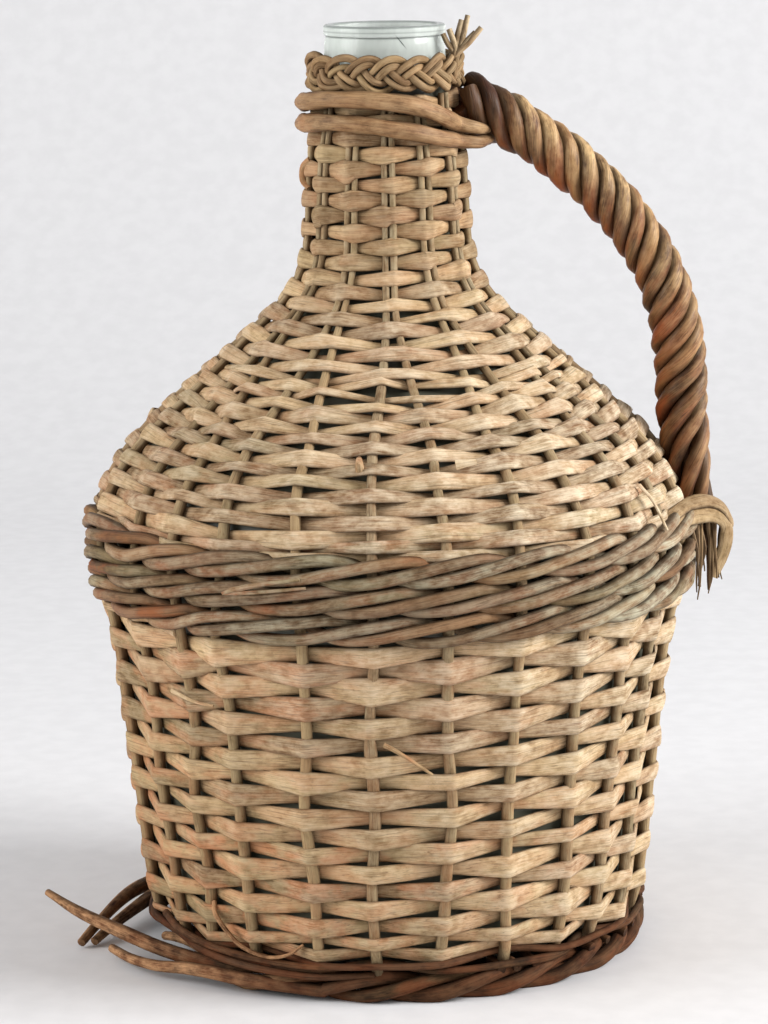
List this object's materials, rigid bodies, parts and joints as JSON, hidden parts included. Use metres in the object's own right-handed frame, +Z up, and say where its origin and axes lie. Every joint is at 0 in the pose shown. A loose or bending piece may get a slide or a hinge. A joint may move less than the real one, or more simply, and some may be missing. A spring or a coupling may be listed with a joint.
{
  "type": "wicker demijohn",
  "caption": "Wide-bellied glass carboy in a woven willow cover, with a plaited neck border, a band of round rods at the belly and a roped carrying handle from neck to shoulder.",
  "frame": {"origin": "on the floor, under the bottle's axis", "axes": "+Z up along the bottle's axis, +X towards the handle, -Y towards the side in the picture"},
  "size_m": [0.3674, 0.3366, 0.5],
  "materials": {
    "glass": "clear pale blue-green glass, smooth",
    "willow_stake": "weathered grey-olive round willow rod",
    "willow_strip": "weathered grey-tan split willow strip",
    "willow_wale": "weathered brown round willow rod",
    "willow_foot": "dark worn reddish-brown willow rod",
    "willow_plait": "weathered tan thin willow rod",
    "willow_handle": "warm brown twisted willow rod"
  },
  "bodies": {
    "root": {"glass_bottle": "glass", "stake_01": "willow_stake", "stake_02": "willow_stake", "stake_03": "willow_stake", "stake_04": "willow_stake", "stake_05": "willow_stake", "stake_06": "willow_stake", "stake_07": "willow_stake", "stake_08": "willow_stake", "stake_09": "willow_stake", "stake_10": "willow_stake", "stake_11": "willow_stake", "stake_12": "willow_stake", "stake_13": "willow_stake", "stake_14": "willow_stake", "stake_15": "willow_stake", "stake_16": "willow_stake", "stake_17": "willow_stake", "stake_18": "willow_stake", "stake_19": "willow_stake", "stake_20": "willow_stake", "stake_21": "willow_stake", "stake_22": "willow_stake", "stake_23": "willow_stake", "stake_24": "willow_stake", "stake_25": "willow_stake", "stake_26": "willow_stake", "base_slit_stick_1": "willow_stake", "base_slit_stick_2": "willow_stake", "base_slit_stick_3": "willow_stake", "base_thread_stick_1": "willow_stake", "base_thread_stick_2": "willow_stake", "base_thread_stick_3": "willow_stake", "body_weaver_1": "willow_strip", "body_weaver_2": "willow_strip", "shoulder_weaver_1": "willow_strip", "shoulder_weaver_2": "willow_strip", "neck_weaver_1": "willow_strip", "base_weave": "willow_strip", "belly_wale_1": "willow_wale", "belly_wale_2": "willow_wale", "belly_wale_3": "willow_wale", "foot_border_1": "willow_foot", "foot_border_2": "willow_foot", "foot_border_3": "willow_foot", "foot_pairing_1": "willow_foot", "foot_pairing_2": "willow_foot", "neck_plait_1": "willow_plait", "neck_plait_2": "willow_plait", "neck_plait_3": "willow_plait", "neck_collar": "willow_handle", "handle_core": "willow_handle", "handle_strand_1": "willow_handle", "handle_strand_2": "willow_handle", "handle_strand_3": "willow_handle", "handle_strand_4": "willow_handle", "handle_strand_5": "willow_handle", "handle_lashing": "willow_handle"}
  },
  "joints": []
}
